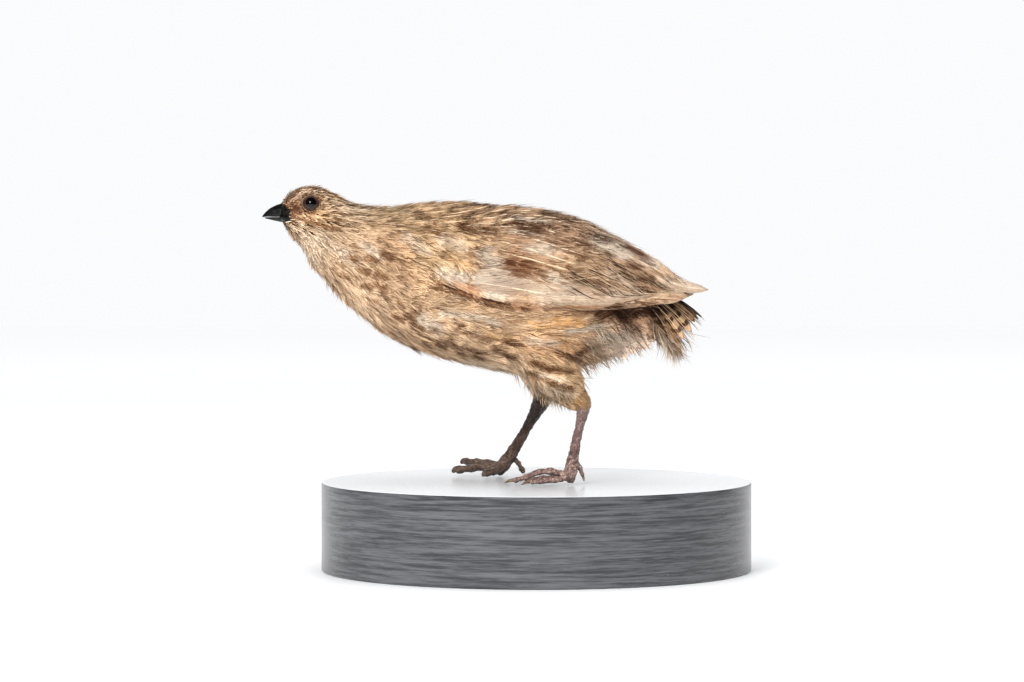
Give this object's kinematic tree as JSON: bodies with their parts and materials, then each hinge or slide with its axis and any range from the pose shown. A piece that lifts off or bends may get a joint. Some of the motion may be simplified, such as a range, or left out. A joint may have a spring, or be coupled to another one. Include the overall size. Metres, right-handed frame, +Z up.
{
  "type": "mounted coturnix quail on round base",
  "caption": "Life-size still model of a coturnix quail leaning forward in mid-step, wings folded and tail drooping, standing on its thick round display base.",
  "frame": {"origin": "centre of the round base's underside", "axes": "+Z up; the bird faces -X, its right side is towards +Y and its left side towards -Y, with its middle plane at Y = 0"},
  "size_m": [0.1659, 0.146, 0.1302],
  "materials": {
    "plumage": "matte, mottled buff and brown small feathers",
    "flight_plumage": "matte, barred brown flight and tail feathers",
    "horn": "glossy black horn",
    "eye": "dark brown glass eye, opaque",
    "skin_near": "scaly pinkish-brown skin, slightly glossy",
    "skin_far": "scaly dark brown skin",
    "claw": "ochre horn",
    "base_paint": "grey painted wood board, satin, paler on top"
  },
  "bodies": {
    "root": {"base_disc": "base_paint", "bill_lower": "horn", "bill_upper": "horn", "claw_hind_left": "claw", "claw_hind_right": "claw", "claw_inner_left": "claw", "claw_inner_right": "claw", "claw_middle_left": "claw", "claw_middle_right": "claw", "claw_outer_left": "claw", "claw_outer_right": "claw", "eye_left": "eye", "eye_right": "eye", "head": "plumage", "neck": "plumage", "shank_left": "skin_near", "shank_right": "skin_far", "tail": "flight_plumage", "thigh_left": "plumage", "thigh_right": "plumage", "toe_hind_left": "skin_near", "toe_hind_right": "skin_far", "toe_inner_left": "skin_near", "toe_inner_right": "skin_far", "toe_middle_left": "skin_near", "toe_middle_right": "skin_far", "toe_outer_left": "skin_near", "toe_outer_right": "skin_far", "torso": "plumage", "wing_left": "flight_plumage", "wing_right": "flight_plumage"}
  },
  "joints": []
}
